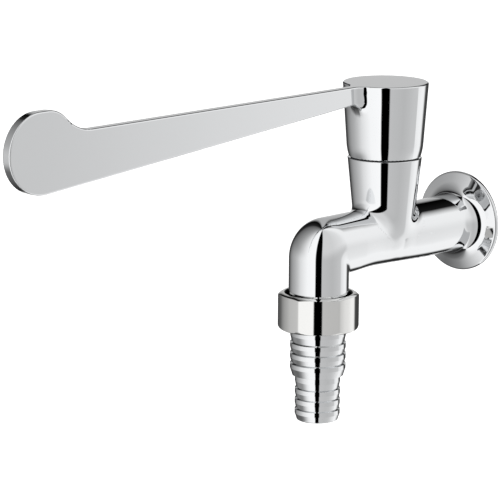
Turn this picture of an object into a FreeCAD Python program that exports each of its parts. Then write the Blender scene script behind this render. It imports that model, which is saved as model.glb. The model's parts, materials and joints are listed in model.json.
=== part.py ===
import FreeCAD, Part
import math
import os

from FreeCAD import Vector

# Wall-mounted bib tap with a long elbow lever, ceramic quarter-turn headwork and a screwed hose tail.
# Millimetres. The origin is the centre of the wall flange's back face, on the axis of the inlet.
# +Y points into the wall, +Z is up, and the tap reaches out along -Y. The tap is drawn shut.

# Where the upright axes of the tap stand
VALVE_REACH = 49.2          # wall to the axis of the headwork and handle
SPOUT_REACH = 88.4          # wall to the axis of the spout

# Fits shared by all pieces
SLIP = 0.05                 # radial gap of parts that turn or slide in each other
FACE_GAP = 0.02             # gap between flat faces that rub
THREAD_SLACK = 0.08         # radial gap over the crests of a male thread

# Body casting
TUBE_R = 11.9               # horizontal tube at the flange
WAIST_R = 11.7              # horizontal tube in front of the tower
TUBE_LIFT = 0.9             # how much higher the tube's middle lies in front of the tower than at the flange
LIFT_START = 22.0           # the tube rises between these two distances out of the wall
LIFT_END = 60.0
RISE_RINGS = 4              # rings that the tube is drawn through from there to there
WAIST_RINGS = 3             # and from there to the bend
SPOUT_R = 12.1              # spout, outside
BEND_R = 3.8                # centre line of the elbow, so tight that its inner side is a crease
TOWER_FOOT_R = 11.7         # the tower's cone at the height of the inlet's axis
TOWER_TOP_R = 15.15
TOWER_TOP_Z = 33.1
TOWER_RIM = 0.3             # rounding of the tower's upper edge
SADDLE_FILLET = 4.0         # hollow where tower and tube meet
WATERWAY_R = 8.6            # bore of the outlet side
INLET_BORE_R = 7.5
LOW_PASSAGE_R = 5.0         # bore that leads the water under the seat
LOW_PASSAGE_DROP = 4.0      # its axis below the inlet's axis
SEAT_Z = 2.5                # top of the seat that the headwork's seal presses on
SEAT_HOLE_R = 4.5
CHAMBER_R = 9.6
CHAMBER_WALL = 3.4          # metal between chamber and inlet bore
PASSAGE_WALL = 2.2          # metal between low passage and outlet side

# Wall flange, one casting with the body
FLANGE_R = 20.8
FLANGE_RIM = 2.0            # thickness at the rim
FLANGE_EDGE = 1.0           # rounding of the rim
FLARE_RADII = (30.0, 5.0, 7.6)    # hollow arcs of the flare, from the tube outwards to the flange's cone
FLARE_TURNS = (0, 8, 46, 72)      # degrees that the face has turned where each arc starts and the last one ends

# Pipe threads, 14 turns to the inch
PIPE_PITCH = 1.814
PIPE_THREAD_DEPTH = 1.16
PIPE_CREST = 0.35           # width of the flat on a crest
HALF_INCH_R = 10.48         # G 1/2, for the inlet and for the headwork
THREE_QUARTER_R = 13.22     # G 3/4, for the outlet
INLET_LENGTH = 12.0
OUTLET_THREAD_LENGTH = 6.9

# Seal behind the flange and the screw that stops the tap turning on the wall
SEAL_WIDTH = 2.0            # beyond the inlet's thread
SEAL_THICKNESS = 0.6
SCREW_CIRCLE_R = 17.4       # screw's distance from the inlet axis
SCREW_ANGLE = 45.5          # degrees from +X towards +Z
SCREW_R = 2.3
SCREW_TOP = 3.0             # its outer end, out of the wall
SCREW_POINT = 0.1           # its point, out of the wall
SCREW_PITCH = 0.8
SCREW_THREAD_DEPTH = 0.4
SCREW_CREST = 0.15
SCREW_KEY = 1.5             # hexagon socket, across flats
SCREW_KEY_DEPTH = 1.4

# Lever handle, hub and blade in one casting
HUB_TOP_R = 17.5
HUB_LOW_R = 15.3            # the hub's cone carried on to its lower rim
HUB_TOP_Z = 63.9
HUB_EASE = 5.0              # over this height the hub's foot draws in from the cone
HUB_DRAW = 0.55             # by this much
HUB_RIM = 0.3               # rounding of the hub's lower rim
HUB_WALL = 2.4
HUB_ROOF = 3.4
BLADE_THICKNESS = 4.2
BLADE_ROOT_DEPTH = 5.5      # height of the blade, read at the valve's axis
BLADE_FLARE = 6.0           # hollow where the blade leaves the hub
LEVER_EDGE = 0.7            # rounding of the blade's edges and of the hub's upper rim
PADDLE_REACH = 192.8        # valve axis to the centre of the round paddle
PADDLE_R = 15.2
PADDLE_DROP = 6.0           # paddle's centre below the blade's top edge
CROWN_FLAT = 4.3            # level stretch on top of the paddle
SHOULDER_R = 12.5
NECK_R = 19.0
HEEL_R = 19.0               # the paddle's lower side, flatter than its tip
HEEL_ANGLE = 60.0           # degrees below level at which tip and lower side meet
BOSS_R = 9.2                # boss inside the hub that holds the splined insert
GRUB_R = 2.5
GRUB_LENGTH = 9.0
GRUB_PITCH = 0.8
GRUB_THREAD_DEPTH = 0.4
GRUB_CREST = 0.15
GRUB_KEY = 2.5              # hexagon socket, across flats
GRUB_KEY_DEPTH = 2.5
GRUB_BITE = 1.2             # how deep the point reaches into the insert
GRUB_BOSS_R = 4.6
GRUB_HEIGHT = 6.2           # above the lower end of the splines

# Glide ring between tower and hub
GLIDE_OUTER_R = 13.7
GLIDE_WIDTH = 1.5
GLIDE_THICKNESS = 1.2
PARTING_GAP = 0.45          # height of the visible gap between tower and hub

# Headwork
COLLAR_R = 12.0
COLLAR_HEIGHT = 3.2
COLLAR_SINK = 2.6           # how deep the collar sits in the tower
HEADWORK_FLATS = 19.0
HEX_HEIGHT = 4.2
BARREL_R = 7.6
BARREL_HEIGHT = 5.6
CAGE_R = 8.5
CAGE_BORE_R = 7.6
HEADWORK_THREAD_LENGTH = 9.5
BODY_RING = 1.5             # section of the ring that seals headwork and tower
BODY_RING_ROOM = 0.3        # its groove is this much higher
SPINDLE_R = 4.95
WINDOW_ANGLE = 80.0         # each of the cage's two side windows

# Ceramic discs, their seal and the spindle that turns them
DISC_THICKNESS = 3.2
DISC_CENTRE_R = 1.6         # solid middle of the fixed disc
DISC_HOLE_R = 5.3
DISC_HOLE_ANGLE = 78.0      # each of the fixed disc's two windows
MOVING_OPEN_ANGLE = 84.0
MOVING_CENTRE_R = 2.6
LUG_WIDTH = 2.4
LUG_SLACK = 0.06
LUG_SHY = 0.3               # how far a lug stays inside the cage's outside
LUG_ROOT = 1.0              # how far a lug, or a cutter for one, reaches past the cage's wall
SEAT_SEAL_HEIGHT = 2.6
SEAT_SEAL_SINK = 1.0        # how deep the seal sits in the cage
SEAT_SEAL_WALL = 2.15
SUPPORT_WALL = 0.5
SUPPORT_SHY = 0.3
TANG_WIDTH = 2.6
TANG_DEPTH = 1.3
TANG_SLACK = 0.05
SPINDLE_COLLAR_HEIGHT = 3.0
THRUST_THICKNESS = 0.8
THRUST_R = 7.0
STOP_ANGLE = 18.0           # width of the cage's stop
STOP_DEPTH = 1.1
STOP_SLACK = 1.0            # degrees left at each end of the turn
TURN = 90.0                 # quarter turn from shut to open
SPINDLE_RING = 1.05         # section of the rings on the spindle
RING_GROOVE_WIDTH = 1.35
RING_SPACING = 4.0
RING_START = 5.0            # first ring above the cage's roof
CLIP_THICKNESS = 0.8
CLIP_WIDTH = 1.6
CLIP_GROOVE = 0.7
CLIP_OPENING = 70.0
SPLINE_TEETH = 20
SPLINE_R = 4.1
SPLINE_DEPTH = 0.4
SPLINE_LENGTH = 10.5
SPLINE_RISE = 1.0           # plain neck between clip and splines
INSERT_R = 6.6
INSERT_LENGTH = 11.5
INSERT_FLANGE = 1.0
INSERT_FLANGE_R = 8.0
INSERT_RISE = 0.2           # insert's foot above the foot of the splines
SPLINE_SLACK = 0.03

# Union nut, washer and hose tail
NUT_FLATS = 30.0
NUT_CORNER = 4.5            # rounding of the upright corners
NUT_TOP_DROP = 17.3         # nut's top below the inlet's axis
NUT_HEIGHT = 14.85
NUT_LIP = 2.0
NUT_CHAMFER = 1.5           # width of the turned chamfer on the nut's top
NUT_CHAMFER_DROP = 0.9
NUT_FOOT = 1.8              # rounding of the nut's foot
NUT_MOUTH = 0.5             # lead-in of the nut's thread
NUT_TURN = 43.0             # a flat faces this way, degrees from -Y towards +X
TAIL_COLLAR_R = 12.9
TAIL_COLLAR_HEIGHT = 2.2
TAIL_SLACK = 0.15           # between the largest barb and the nut's hole
WASHER_THICKNESS = 1.6
WASHER_SHY = 0.2            # washer's rim inside the collar's rim
TAIL_BORE_R = 5.8
TAIL_ENTRY_DEPTH = 5.0      # cone from the waterway to the tail's bore
TAIL_NECK_STRAIGHT = 2.5    # plain part of the neck below the nut's foot
TAIL_NECK_LENGTH = 5.55     # from the nut's foot to the first tooth
BARBS = 3                   # teeth of each of the two hose sizes
BARB_PITCH = 4.3
BIG_BARB_R = 11.25
BIG_ROOT_R = 10.5
SMALL_BARB_R = 9.15
SMALL_ROOT_R = 8.5
BARB_LAND = 1.8             # width of the flat on each tooth's edge
BARB_HOOK = 0.3             # a tooth's upper face leans back by this much
STEP_R = 10.3               # foot of the large teeth, where the tail steps in
STEP_DROP = 4.8             # from the last large tooth's edge to the step
STEP_HEIGHT = 0.4
STEP_NECK_STRAIGHT = 2.1    # plain neck under the step, as wide as the small teeth
STEP_NECK_LENGTH = 5.1      # from the step's foot to the first small tooth
TIP_LENGTH = 4.55           # from the last tooth's edge to the tail's end
TIP_R = 8.4
TIP_ROUND = 0.6

# Levels and radii that follow from the sizes above
UP = Vector(0, 0, 1)
OUT = Vector(0, -1, 0)
VALVE = Vector(0, -VALVE_REACH, 0)
SPOUT = Vector(0, -SPOUT_REACH, 0)
BEND_Y = -(SPOUT_REACH - BEND_R)
FLARE_ANGLES = [math.radians(turn) for turn in FLARE_TURNS]
FLARE_ARCS = list(zip(FLARE_RADII, FLARE_ANGLES, FLARE_ANGLES[1:]))
CONE_ANGLE = FLARE_ANGLES[-1]
CONE_FOOT_R = FLANGE_R - FLANGE_EDGE * (1 - math.cos(CONE_ANGLE))
CONE_FOOT = FLANGE_RIM - FLANGE_EDGE * (1 - math.sin(CONE_ANGLE))
CONE_TOP_R = TUBE_R + sum(radius * (math.cos(start) - math.cos(end)) for radius, start, end in FLARE_ARCS)
CONE_TOP = CONE_FOOT + (CONE_FOOT_R - CONE_TOP_R) / math.tan(CONE_ANGLE)
FLANGE_DEPTH = CONE_TOP + sum(radius * (math.sin(end) - math.sin(start)) for radius, start, end in FLARE_ARCS)
COLLAR_LOW = TOWER_TOP_Z - COLLAR_SINK
COLLAR_TOP = COLLAR_LOW + COLLAR_HEIGHT
HEX_TOP = COLLAR_TOP + HEX_HEIGHT
BARREL_TOP = HEX_TOP + BARREL_HEIGHT
RING_SEAT = COLLAR_LOW - BODY_RING - BODY_RING_ROOM
THREAD_LOW = RING_SEAT - HEADWORK_THREAD_LENGTH
DISC_LOW = SEAT_Z + SEAT_SEAL_HEIGHT
CAGE_LOW = DISC_LOW - SEAT_SEAL_SINK
MOVING_LOW = DISC_LOW + DISC_THICKNESS + FACE_GAP
MOVING_TOP = MOVING_LOW + DISC_THICKNESS
SPINDLE_LOW = MOVING_TOP + FACE_GAP
THRUST_LOW = SPINDLE_LOW + SPINDLE_COLLAR_HEIGHT + FACE_GAP
CAGE_ROOF = THRUST_LOW + THRUST_THICKNESS + FACE_GAP
CLIP_LOW = BARREL_TOP + FACE_GAP
SPLINE_LOW = CLIP_LOW + CLIP_THICKNESS + SPLINE_RISE
INSERT_LOW = SPLINE_LOW + INSERT_RISE
INSERT_TOP = INSERT_LOW + INSERT_LENGTH
BOSS_LOW = INSERT_LOW + INSERT_FLANGE
GRUB_Z = SPLINE_LOW + GRUB_HEIGHT
HUB_LOW = TOWER_TOP_Z + PARTING_GAP
ROOF_LOW = HUB_TOP_Z - HUB_ROOF
ROOT_LENGTH = HUB_TOP_R + 7 * BLADE_FLARE   # stretch of the blade that is formed together with the hub
DISC_R = CAGE_BORE_R - 3 * SLIP
SEAL_INNER_R = CAGE_BORE_R - SLIP - SEAT_SEAL_WALL
SPINDLE_BORE_R = SPINDLE_R + SLIP
HEADWORK_BORE_R = HALF_INCH_R + THREAD_SLACK
NUT_TOP = -NUT_TOP_DROP
NUT_LOW = NUT_TOP - NUT_HEIGHT
NUT_BORE_R = THREE_QUARTER_R + THREAD_SLACK
LIP_TOP = NUT_LOW + NUT_LIP
TAIL_TOP = LIP_TOP + TAIL_COLLAR_HEIGHT
SPOUT_END = TAIL_TOP + WASHER_THICKNESS
OUTLET_THREAD_TOP = SPOUT_END + OUTLET_THREAD_LENGTH
SCREW_X = SCREW_CIRCLE_R * math.cos(math.radians(SCREW_ANGLE))
SCREW_Z = SCREW_CIRCLE_R * math.sin(math.radians(SCREW_ANGLE))


def wire_of(points):
    """Closed wire through the points; a pair of points stands for an arc's middle and its end."""
    edges = []
    here = points[0]
    for step in points[1:] + [points[0]]:
        if isinstance(step, tuple):
            middle, end = step
            edges.append(Part.Arc(here, middle, end).toShape())
        else:
            end = step
            edges.append(Part.LineSegment(here, end).toShape())
        here = end
    return Part.Wire(edges)


def outline(points, place):
    """Face inside the points, each put in space by place; a pair of points is an arc, as in wire_of."""
    put = []
    for point in points:
        if isinstance(point[0], tuple):
            put.append((place(*point[0]), place(*point[1])))
        else:
            put.append(place(*point))
    return Part.Face(wire_of(put))


def turned(points, centre):
    """Solid of revolution about the upright axis through centre, from (radius, height) points."""
    face = outline(points, lambda r, z: Vector(centre.x + r, centre.y, z))
    return face.revolve(centre, UP, 360)


def turned_out(points):
    """Solid of revolution about the inlet's axis, from (radius, distance out of the wall) points."""
    face = outline(points, lambda r, out: Vector(r, -out, 0))
    return face.revolve(Vector(0, 0, 0), OUT, 360)


def disc(radius, low, high, centre):
    """Upright cylinder between two levels."""
    return Part.makeCylinder(radius, high - low, Vector(centre.x, centre.y, low), UP)


def rod_out(radius, start, end, x=0, z=0):
    """Cylinder along the inlet's direction, from start to end, both distances out of the wall."""
    return Part.makeCylinder(radius, end - start, Vector(x, -start, z), OUT)


def ring(outer, inner, low, high, centre):
    """Upright ring of square section."""
    return turned([(inner, low), (outer, low), (outer, high), (inner, high)], centre)


def round_ring(section, inner, middle, centre):
    """Upright ring of round section that lies around the radius inner, its middle at a level."""
    return Part.makeTorus(inner + section / 2, section / 2, Vector(centre.x, centre.y, middle), UP)


def hexagon(flats, start, length, direction, turn):
    """Hexagonal prism from the point start; turn is the angle of a flat about direction."""
    corner = flats / math.sqrt(3)
    across = Part.makePolygon([Vector(corner * math.cos(a), corner * math.sin(a), 0)
                               for a in [math.radians(30 + 60 * i) for i in range(7)]])
    prism = Part.Face(across).extrude(Vector(0, 0, length))
    prism.rotate(Vector(0, 0, 0), UP, turn)
    prism.Placement = FreeCAD.Placement(start, FreeCAD.Rotation(UP, direction)).multiply(prism.Placement)
    return prism


def sector(inner, outer, low, high, middle, width):
    """Piece of a ring on the valve's axis, width degrees wide, about middle degrees from +X."""
    whole = disc(outer, low, high, VALVE)
    if inner > 0:
        whole = ring(outer, inner, low, high, VALVE)
    apex = VALVE + Vector(0, 0, low)
    corners = [apex]
    for angle in (middle - width / 2, middle, middle + width / 2):
        turn = math.radians(angle)
        corners.append(apex + Vector(math.cos(turn), math.sin(turn), 0) * (2 * outer))
    return whole.common(Part.Face(wire_of(corners)).extrude(Vector(0, 0, high - low)))


def thread(radius, start, end, pitch, depth, crest):
    """Outline of a thread as rings: (radius, level) points from start to end, which may lie below."""
    way = 1 if end > start else -1
    flank = (pitch - crest) / 2
    gaps = int((abs(end - start) - crest) / pitch)
    points = [(radius, start)]
    level = start + way * (abs(end - start) - crest - gaps * pitch)
    for i in range(gaps + 1):
        points.append((radius, level + way * crest))
        if i < gaps:
            points.append((radius - depth, level + way * (crest + flank)))
            points.append((radius, level + way * pitch))
        level += way * pitch
    return points


def pipe_thread(radius, start, end):
    """Outline of a pipe thread, see thread."""
    return thread(radius, start, end, PIPE_PITCH, PIPE_THREAD_DEPTH, PIPE_CREST)


def flange():
    """Wall flange that flares out of the tube in hollow arcs to a flat cone with a rounded rim."""
    points = [(0, FLANGE_DEPTH), (TUBE_R, FLANGE_DEPTH)]
    place = points[-1]
    for radius, start, end in FLARE_ARCS:
        centre = (place[0] + radius * math.cos(start), place[1] + radius * math.sin(start))
        middle, place = [(centre[0] - radius * math.cos(turn), centre[1] - radius * math.sin(turn))
                         for turn in ((start + end) / 2, end)]
        points.append((middle, place))
    rim = (FLANGE_R - FLANGE_EDGE, FLANGE_RIM - FLANGE_EDGE)
    half = (rim[0] + FLANGE_EDGE * math.cos(CONE_ANGLE / 2), rim[1] + FLANGE_EDGE * math.sin(CONE_ANGLE / 2))
    return turned_out(points + [
        (CONE_FOOT_R, CONE_FOOT),
        (half, (FLANGE_R, rim[1])),
        (FLANGE_R, 0),
        (0, 0),
    ])


def smooth(share):
    """Goes softly from 0 to 1 as share does, and stays level before and after."""
    share = max(0.0, min(1.0, share))
    return share * share * (3 - 2 * share)


def tube_at(out):
    """Radius of the tube and height of its middle at a distance out of the wall."""
    if out <= LIFT_END:
        share = smooth((out - LIFT_START) / (LIFT_END - LIFT_START))
        return TUBE_R + (WAIST_R - TUBE_R) * share, TUBE_LIFT * share
    share = smooth((out - LIFT_END) / (-BEND_Y - LIFT_END))
    radius = WAIST_R + (SPOUT_R - WAIST_R) * share
    return radius, TUBE_LIFT + WAIST_R - radius


def tube():
    """Tube from the flange out to the bend, drawn softly through rings."""
    outs = [FLANGE_DEPTH, (FLANGE_DEPTH + LIFT_START) / 2]
    outs += [LIFT_START + (LIFT_END - LIFT_START) * i / RISE_RINGS for i in range(RISE_RINGS)]
    outs += [LIFT_END + (-BEND_Y - LIFT_END) * i / WAIST_RINGS for i in range(WAIST_RINGS + 1)]
    rings = []
    for out in outs:
        radius, rise = tube_at(out)
        rings.append(Part.Wire(Part.makeCircle(radius, Vector(0, -out, rise), OUT)))
    return Part.makeLoft(rings, True, False)


def bend(radius, end_z):
    """Elbow and drop to end_z: the outer part of a disc swung down about the bend's axis, and a cylinder."""
    rise = tube_at(-BEND_Y)[1]
    axis_z = rise - BEND_R
    half = math.sqrt(radius ** 2 - BEND_R ** 2)
    face = outline([(-half, axis_z), ((0, rise + radius), (half, axis_z))], lambda x, z: Vector(x, BEND_Y, z))
    corner = face.revolve(Vector(0, BEND_Y, axis_z), Vector(1, 0, 0), 90)
    return corner.fuse(disc(radius, end_z, axis_z, SPOUT))


def on_saddle(edge):
    """Tell whether an edge belongs to the seam between tower and tube."""
    box = edge.BoundBox
    beside = abs(box.Center.y + VALVE_REACH) < TOWER_TOP_R
    return beside and box.ZMin > 0 and box.ZMax < TOWER_TOP_Z / 2 and "BSpline" in edge.Curve.TypeId


def casting():
    """Outside of the body: flange, tube, tower, elbow, spout and both male threads."""
    lean = TOWER_RIM * (1 - math.sqrt(0.5))
    tower = turned([
        (0, 0),
        (TOWER_FOOT_R, 0),
        (TOWER_TOP_R, TOWER_TOP_Z - TOWER_RIM),
        ((TOWER_TOP_R - lean, TOWER_TOP_Z - lean), (TOWER_TOP_R - TOWER_RIM, TOWER_TOP_Z)),
        (0, TOWER_TOP_Z),
    ], VALVE)
    spine = tube().fuse([bend(SPOUT_R, OUTLET_THREAD_TOP), tower]).removeSplitter()
    spine = spine.makeFillet(SADDLE_FILLET, [e for e in spine.Edges if on_saddle(e)])
    inlet = turned_out([(0, 0)] + pipe_thread(HALF_INCH_R, 0, -INLET_LENGTH) + [(0, -INLET_LENGTH)])
    outlet = turned([(0, OUTLET_THREAD_TOP)] + pipe_thread(THREE_QUARTER_R, OUTLET_THREAD_TOP, SPOUT_END)
                    + [(0, SPOUT_END)], SPOUT)
    return spine.fuse([flange(), inlet, outlet])


def waterways():
    """Everything bored out of the casting for the water, from the inlet to the spout's end."""
    inlet_end = VALVE_REACH - CHAMBER_R - CHAMBER_WALL
    low_end = VALVE_REACH + LOW_PASSAGE_R
    inlet = rod_out(INLET_BORE_R, -INLET_LENGTH, inlet_end)
    low = rod_out(LOW_PASSAGE_R, inlet_end - INLET_BORE_R, low_end, 0, -LOW_PASSAGE_DROP)
    seat = disc(SEAT_HOLE_R, -LOW_PASSAGE_DROP, SEAT_Z, VALVE)
    chamber = disc(CHAMBER_R, SEAT_Z, THREAD_LOW, VALVE)
    outlet = rod_out(WATERWAY_R, low_end + PASSAGE_WALL, -BEND_Y, 0, tube_at(-BEND_Y)[1])
    return [inlet, low, seat, chamber, outlet, bend(WATERWAY_R, SPOUT_END)]


def body():
    """Body casting with its waterways, the headwork's seat and the fixing screw's hole."""
    headwork_bore = disc(HEADWORK_BORE_R, THREAD_LOW, COLLAR_LOW, VALVE)
    collar_seat = disc(COLLAR_R + 2 * SLIP, COLLAR_LOW, TOWER_TOP_Z, VALVE)
    glide_low = HUB_LOW - FACE_GAP - GLIDE_THICKNESS
    glide_seat = disc(GLIDE_OUTER_R + SLIP, glide_low, TOWER_TOP_Z, VALVE)
    seal_seat = turned_out([
        (HALF_INCH_R - PIPE_THREAD_DEPTH, 0),
        (HALF_INCH_R + SEAL_WIDTH, 0),
        (HALF_INCH_R + SEAL_WIDTH, SEAL_THICKNESS),
        (HALF_INCH_R - PIPE_THREAD_DEPTH, SEAL_THICKNESS),
    ])
    screw_hole = rod_out(SCREW_R + THREAD_SLACK, 0, FLANGE_DEPTH, SCREW_X, SCREW_Z)
    return casting().cut(waterways() + [headwork_bore, collar_seat, glide_seat, seal_seat, screw_hole])


def wall_seal():
    """Flat rubber ring around the inlet, flush with the flange's back."""
    inner = HALF_INCH_R - PIPE_THREAD_DEPTH + SLIP
    outer = HALF_INCH_R + SEAL_WIDTH - SLIP
    return turned_out([(inner, 0), (outer, 0), (outer, SEAL_THICKNESS), (inner, SEAL_THICKNESS)])


def fixing_screw():
    """Grub screw through the flange. Its point bites the wall, so that the tap can't turn."""
    points = [(0, SCREW_POINT), (SCREW_R - SCREW_THREAD_DEPTH, SCREW_POINT)]
    start = SCREW_POINT + SCREW_THREAD_DEPTH
    points += thread(SCREW_R, start, SCREW_TOP, SCREW_PITCH, SCREW_THREAD_DEPTH, SCREW_CREST)
    screw = turned_out(points + [(0, SCREW_TOP)])
    screw = screw.cut(hexagon(SCREW_KEY, Vector(0, -SCREW_TOP, 0), SCREW_KEY_DEPTH, -OUT, 0))
    screw.translate(Vector(SCREW_X, 0, SCREW_Z))
    return screw


def glide_ring():
    """Plastic ring in the tower's mouth that the handle's hub turns on."""
    top = HUB_LOW - FACE_GAP
    return ring(GLIDE_OUTER_R, GLIDE_OUTER_R - GLIDE_WIDTH, top - GLIDE_THICKNESS, top, VALVE)


def headwork_body():
    """Brass headwork: cage for the discs, thread, collar, hexagon and barrel around the spindle."""
    groove = HALF_INCH_R - PIPE_THREAD_DEPTH
    shell = turned([
        (CAGE_BORE_R, CAGE_LOW),
        (CAGE_R, CAGE_LOW),
        (CAGE_R, THREAD_LOW),
    ] + pipe_thread(HALF_INCH_R, THREAD_LOW, RING_SEAT) + [
        (groove, RING_SEAT),
        (groove, COLLAR_LOW),
        (COLLAR_R, COLLAR_LOW),
        (COLLAR_R, COLLAR_TOP),
        (BARREL_R, COLLAR_TOP),
        (BARREL_R, BARREL_TOP),
        (SPINDLE_BORE_R, BARREL_TOP),
        (SPINDLE_BORE_R, CAGE_ROOF),
        (CAGE_BORE_R, CAGE_ROOF),
    ], VALVE)
    grip = hexagon(HEADWORK_FLATS, VALVE + Vector(0, 0, COLLAR_TOP), HEX_HEIGHT, UP, 0)
    grip = grip.cut(disc(BARREL_R, COLLAR_TOP, HEX_TOP, VALVE))
    stop = sector(CAGE_BORE_R - STOP_DEPTH, (CAGE_BORE_R + CAGE_R) / 2, SPINDLE_LOW, THRUST_LOW, 0, STOP_ANGLE)
    windows = []
    slots = []
    for side in (-1, 1):
        inner, outer = CAGE_BORE_R - LUG_ROOT, CAGE_R + LUG_ROOT
        windows.append(sector(inner, outer, MOVING_LOW, MOVING_TOP, 90 * side, WINDOW_ANGLE))
        slots.append(lug(side, CAGE_R + LUG_ROOT, CAGE_LOW, DISC_LOW + DISC_THICKNESS, LUG_WIDTH / 2 + LUG_SLACK))
    return shell.cut(windows + slots).fuse([grip, stop])


def lug(side, reach, low, high, half_width):
    """Block on the cage's rim along +X or -X, from inside the disc's rim out to reach."""
    start = CAGE_BORE_R - LUG_ROOT
    corner = VALVE + Vector(start if side > 0 else -reach, -half_width, low)
    return Part.makeBox(reach - start, 2 * half_width, high - low, corner)


def headwork_o_ring():
    """Rubber ring that seals the headwork in the tower."""
    groove = HALF_INCH_R - PIPE_THREAD_DEPTH
    section = min(BODY_RING, HEADWORK_BORE_R - groove)
    return round_ring(section - 2 * SLIP, groove + SLIP, (RING_SEAT + COLLAR_LOW) / 2, VALVE)


def seat_seal():
    """Rubber sleeve between the fixed disc and the body's seat."""
    return ring(CAGE_BORE_R - SLIP, SEAL_INNER_R, SEAT_Z, DISC_LOW, VALVE)


def seal_support_ring():
    """Stiff ring that keeps the seat seal from being drawn in."""
    outer = SEAL_INNER_R - SLIP
    return ring(outer, outer - SUPPORT_WALL, SEAT_Z, DISC_LOW - SUPPORT_SHY, VALVE)


def fixed_disc():
    """Lower ceramic disc with two windows and two lugs that key it to the cage."""
    top = DISC_LOW + DISC_THICKNESS
    plate = disc(DISC_R, DISC_LOW, top, VALVE)
    lugs = [lug(side, CAGE_R - LUG_SHY, DISC_LOW, top, LUG_WIDTH / 2) for side in (-1, 1)]
    holes = [sector(DISC_CENTRE_R, DISC_HOLE_R, DISC_LOW, top, 90 * side, DISC_HOLE_ANGLE) for side in (-1, 1)]
    return plate.fuse(lugs).cut(holes)


def moving_disc():
    """Upper ceramic disc: two openings in its rim and a slot on top for the spindle's tang."""
    plate = disc(DISC_R, MOVING_LOW, MOVING_TOP, VALVE)
    gaps = [sector(MOVING_CENTRE_R, 2 * DISC_R, MOVING_LOW, MOVING_TOP, middle, MOVING_OPEN_ANGLE)
            for middle in (0, 180)]
    return plate.cut(gaps + [tang(TANG_SLACK)])


def tang(slack):
    """Bar on the spindle's foot that drives the moving disc, grown by slack on each side."""
    half = TANG_WIDTH / 2 + slack
    depth = TANG_DEPTH + slack
    reach = 2 * (DISC_R + slack)
    corner = VALVE + Vector(-half, -reach / 2, SPINDLE_LOW - depth)
    return Part.makeBox(2 * half, reach, depth, corner).common(disc(DISC_R + slack, 0, SPINDLE_LOW, VALVE))


def splines(radius, low, high):
    """Star-shaped prism with the spindle's teeth."""
    points = []
    for i in range(2 * SPLINE_TEETH):
        angle = math.pi * i / SPLINE_TEETH
        r = radius if i % 2 == 0 else radius - SPLINE_DEPTH
        points.append(VALVE + Vector(r * math.cos(angle), r * math.sin(angle), low))
    return Part.Face(wire_of(points)).extrude(Vector(0, 0, high - low))


def spindle_ring_levels():
    """Middle levels of the two rubber rings on the spindle."""
    first = CAGE_ROOF + RING_START
    return [first, first + RING_SPACING]


def spindle():
    """Brass spindle: tang, stop collar, grooved shaft, clip groove and splined head."""
    collar_r = CAGE_BORE_R - SLIP
    groove_r = SPINDLE_BORE_R - SLIP - SPINDLE_RING
    neck = SPINDLE_R - CLIP_GROOVE
    shaft = disc(SPINDLE_R, SPINDLE_LOW, CLIP_LOW + CLIP_THICKNESS, VALVE)
    collar = disc(collar_r, SPINDLE_LOW, THRUST_LOW - FACE_GAP, VALVE)
    notch = sector(CAGE_BORE_R - STOP_DEPTH - SLIP, 2 * collar_r, SPINDLE_LOW, THRUST_LOW,
                   -TURN / 2, STOP_ANGLE + TURN + 2 * STOP_SLACK)
    grooves = []
    for level in spindle_ring_levels():
        half = RING_GROOVE_WIDTH / 2
        grooves.append(ring(2 * SPINDLE_R, groove_r, level - half, level + half, VALVE))
    grooves.append(ring(2 * SPINDLE_R, neck, CLIP_LOW, CLIP_LOW + CLIP_THICKNESS, VALVE))
    stem = disc(neck, CLIP_LOW, SPLINE_LOW, VALVE)
    head = splines(SPLINE_R, SPLINE_LOW, SPLINE_LOW + SPLINE_LENGTH)
    return shaft.fuse([collar.cut(notch), stem, head, tang(0)]).cut(grooves)


def spindle_o_ring(level):
    """Rubber ring on the spindle."""
    groove_r = SPINDLE_BORE_R - SLIP - SPINDLE_RING
    return round_ring(SPINDLE_RING - SLIP, groove_r + SLIP / 2, level, VALVE)


def spindle_circlip():
    """Open spring clip that holds the spindle in the headwork."""
    inner = SPINDLE_R - CLIP_GROOVE + SLIP
    whole = ring(inner + CLIP_WIDTH, inner, CLIP_LOW, CLIP_LOW + CLIP_THICKNESS, VALVE)
    return whole.cut(sector(0, 2 * SPINDLE_R, CLIP_LOW, CLIP_LOW + CLIP_THICKNESS, 45, CLIP_OPENING))


def thrust_washer():
    """Slippery washer between the spindle's collar and the headwork."""
    return ring(THRUST_R, SPINDLE_R + 2 * SLIP, THRUST_LOW, THRUST_LOW + THRUST_THICKNESS, VALVE)


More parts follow.
